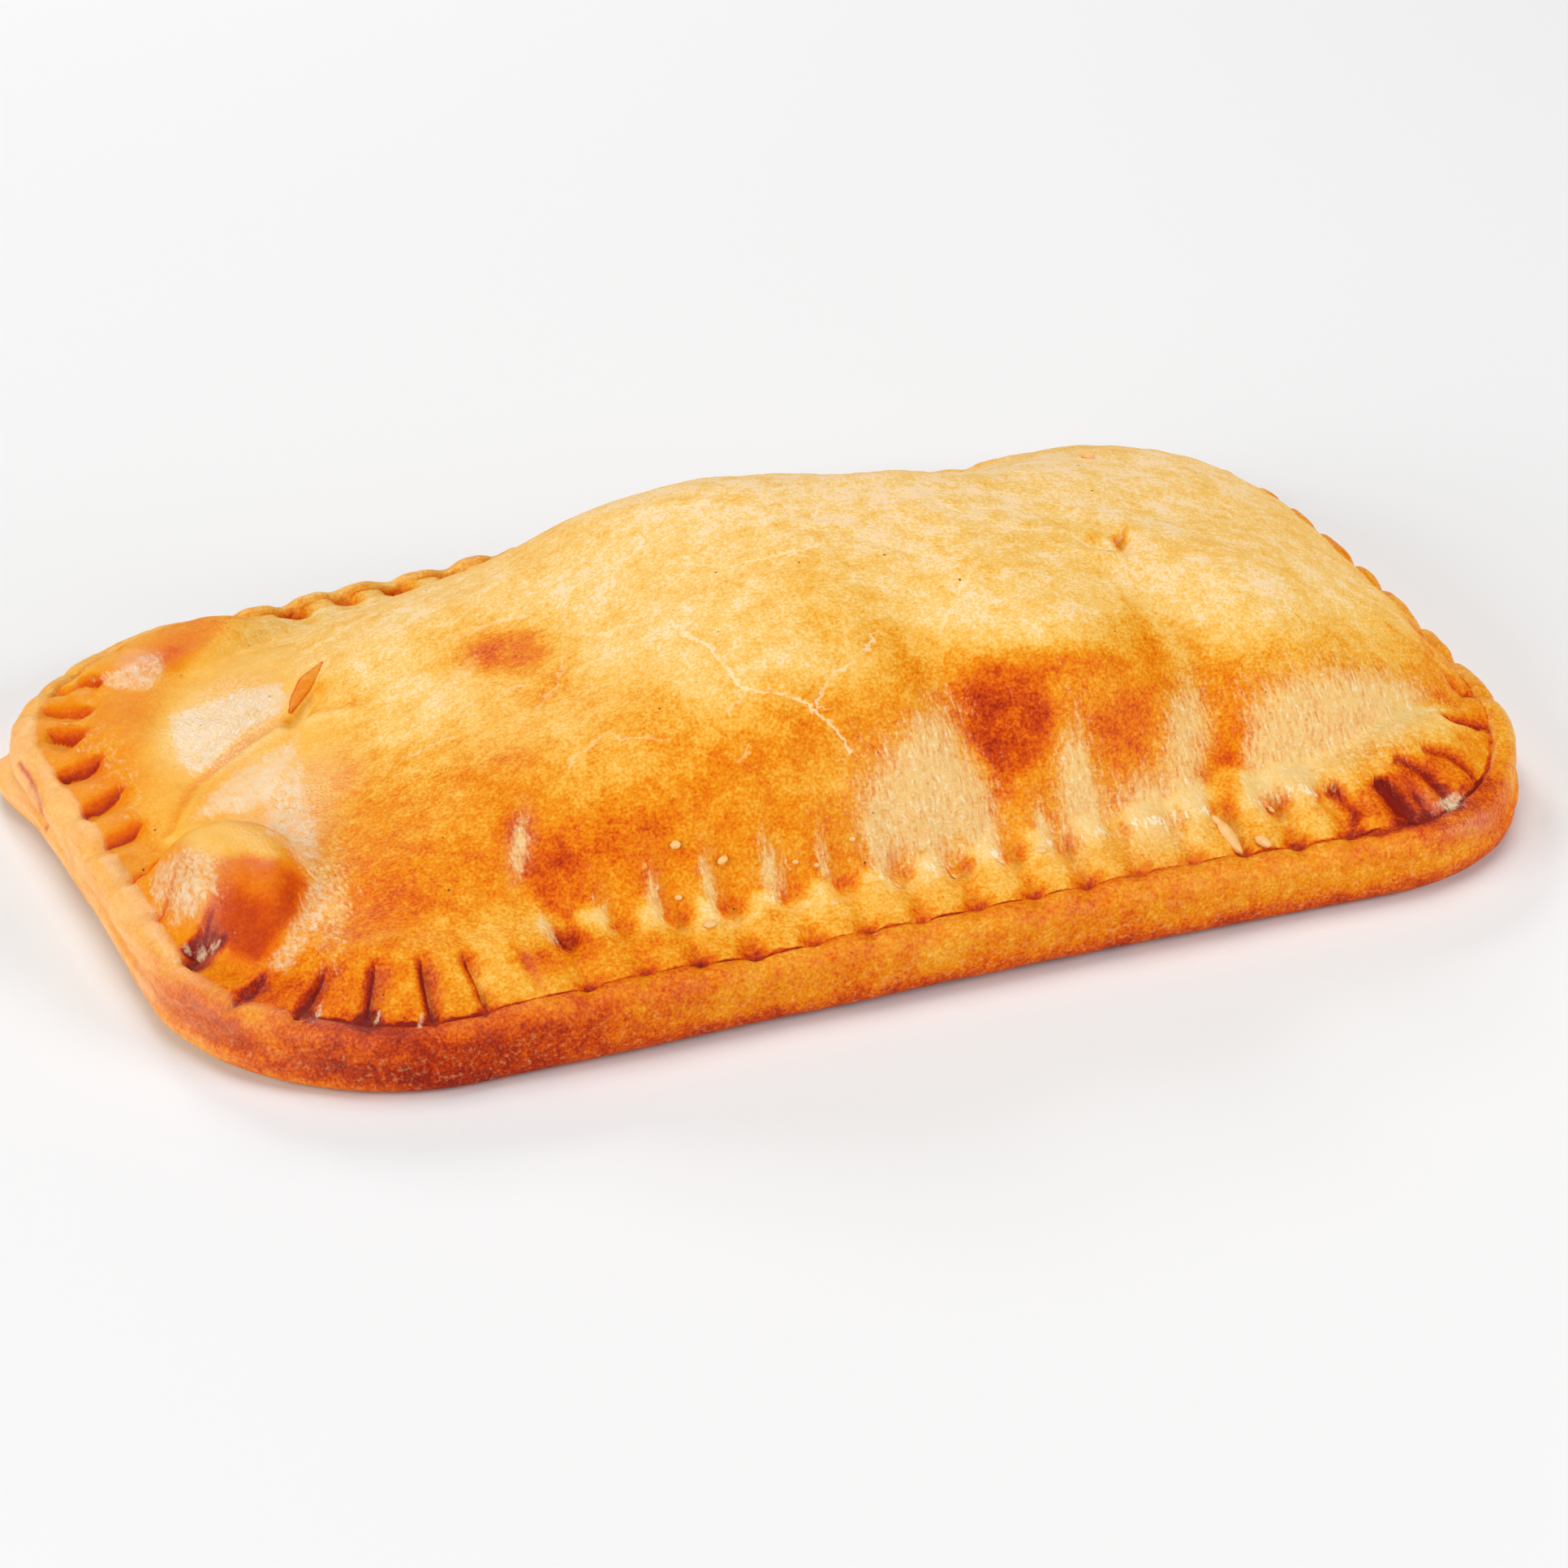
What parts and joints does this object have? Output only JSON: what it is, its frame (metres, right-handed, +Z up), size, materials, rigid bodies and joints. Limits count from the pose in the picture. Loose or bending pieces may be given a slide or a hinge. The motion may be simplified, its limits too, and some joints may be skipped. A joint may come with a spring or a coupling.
{
  "type": "chicken and mushroom empanadilla",
  "caption": "Baked rectangular savoury pasty with rounded corners, a puffed, uneven dome and a crimped rim, whole and uncut, egg-washed golden.",
  "frame": {"origin": "centre of the flat base, on the surface it rests on", "axes": "+X along the long side towards the end with the steam vent, +Y towards the far side, +Z up"},
  "size_m": [0.1638, 0.1022, 0.0339],
  "materials": {
    "crust": "egg-washed baked pastry, golden yellow with orange-brown corners, half glossy"
  },
  "bodies": {
    "root": {"crust": "crust"}
  },
  "joints": []
}
